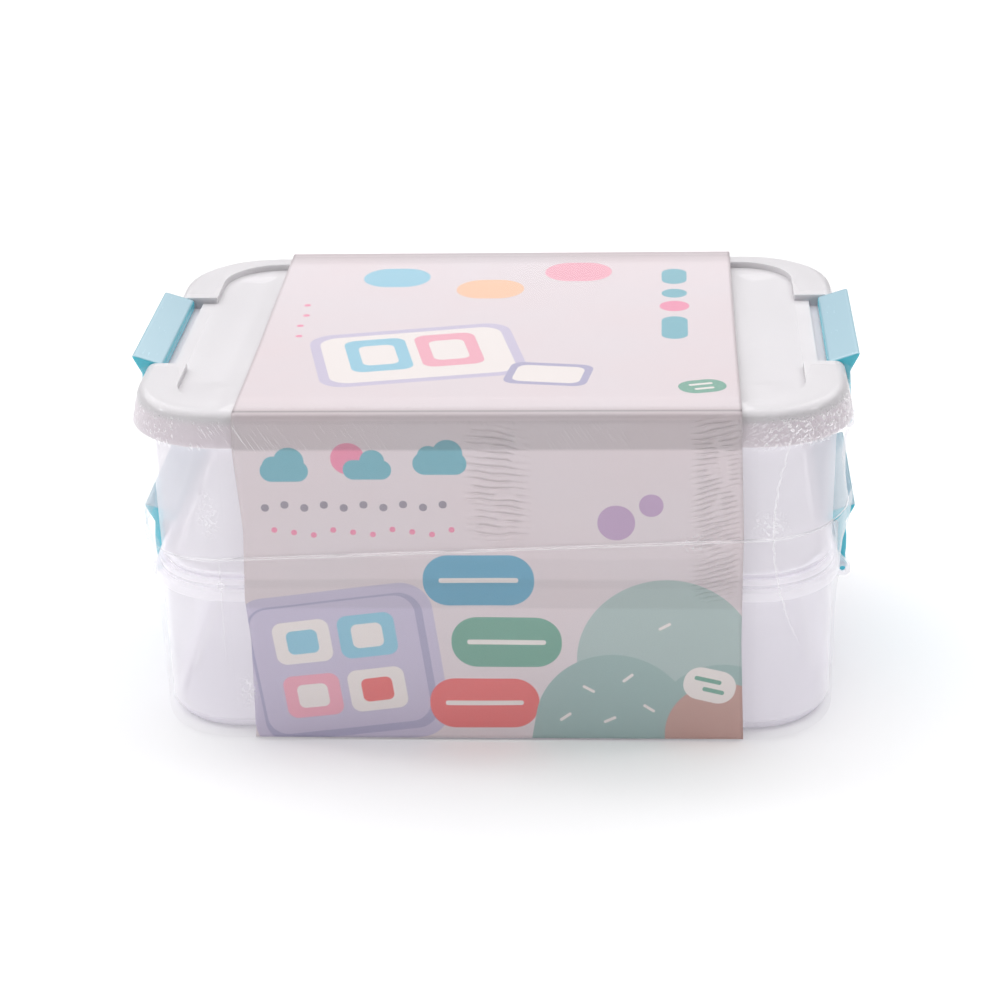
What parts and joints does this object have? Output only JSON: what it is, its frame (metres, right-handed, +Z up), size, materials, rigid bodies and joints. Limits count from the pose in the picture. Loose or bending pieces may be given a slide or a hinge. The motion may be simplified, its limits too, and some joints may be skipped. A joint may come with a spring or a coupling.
{
  "type": "breast milk storage freezer box",
  "caption": "Stackable clear freezer box for milk bags: tubs locked by end latches, a lid with a folding handle, a printed card sleeve and clear shrink film.",
  "frame": {"origin": "bottom centre of the lower container", "axes": "+X along the box towards its right end, +Y from the front to the back, +Z up"},
  "size_m": [0.2806, 0.1878, 0.1381],
  "materials": {
    "tub_plastic": "frosted translucent polypropylene",
    "lid_plastic": "white polypropylene, satin",
    "handle_plastic": "blue polypropylene, semi-gloss",
    "latch_plastic": "turquoise polypropylene, semi-gloss",
    "printed_card": "coated card with a printed picture",
    "shrink_film": "clear glossy shrink film"
  },
  "bodies": {
    "lower_tier": {"lower_container": "tub_plastic", "film_lower": "shrink_film"},
    "upper_tier": {"upper_container": "tub_plastic"},
    "lid": {"lid": "lid_plastic"},
    "handle": {"handle": "handle_plastic"},
    "wrap": {"sleeve": "printed_card", "film_upper": "shrink_film"},
    "latch_lower_left": {"latch_lower_left": "latch_plastic"},
    "latch_lower_right": {"latch_lower_right": "latch_plastic"},
    "latch_upper_left": {"latch_upper_left": "latch_plastic"},
    "latch_upper_right": {"latch_upper_right": "latch_plastic"}
  },
  "joints": [
    {"name": "lower_left_hinge", "type": "hinge", "parent": "lower_tier", "child": "latch_lower_left", "pos_m": [-0.1359, 0, 0.0485], "axis": [0, -1, 0], "range_deg": [0, 110]},
    {"name": "lower_right_hinge", "type": "hinge", "parent": "lower_tier", "child": "latch_lower_right", "pos_m": [0.1359, 0, 0.0485], "axis": [0, 1, 0], "range_deg": [0, 110]},
    {"name": "tier_lift", "type": "slide", "parent": "lower_tier", "child": "upper_tier", "axis": [0, 0, 1], "range_m": [0, 0.12]},
    {"name": "upper_left_hinge", "type": "hinge", "parent": "upper_tier", "child": "latch_upper_left", "pos_m": [-0.1359, 0, 0.1115], "axis": [0, -1, 0], "range_deg": [0, 110]},
    {"name": "upper_right_hinge", "type": "hinge", "parent": "upper_tier", "child": "latch_upper_right", "pos_m": [0.1359, 0, 0.1115], "axis": [0, 1, 0], "range_deg": [0, 110]},
    {"name": "lid_lift", "type": "slide", "parent": "upper_tier", "child": "lid", "axis": [0, 0, 1], "range_m": [0, 0.12]},
    {"name": "wrap_lift", "type": "slide", "parent": "lid", "child": "wrap", "axis": [0, 0, 1], "range_m": [0, 0.15]},
    {"name": "handle_swing", "type": "hinge", "parent": "lid", "child": "handle", "pos_m": [0, 0.0125, 0.1296], "axis": [-1, 0, 0], "range_deg": [0, 90]}
  ],
  "couplings": [
    {"joint": "handle_swing", "follows": "wrap_lift", "rad_per_m": 10.47}
  ]
}
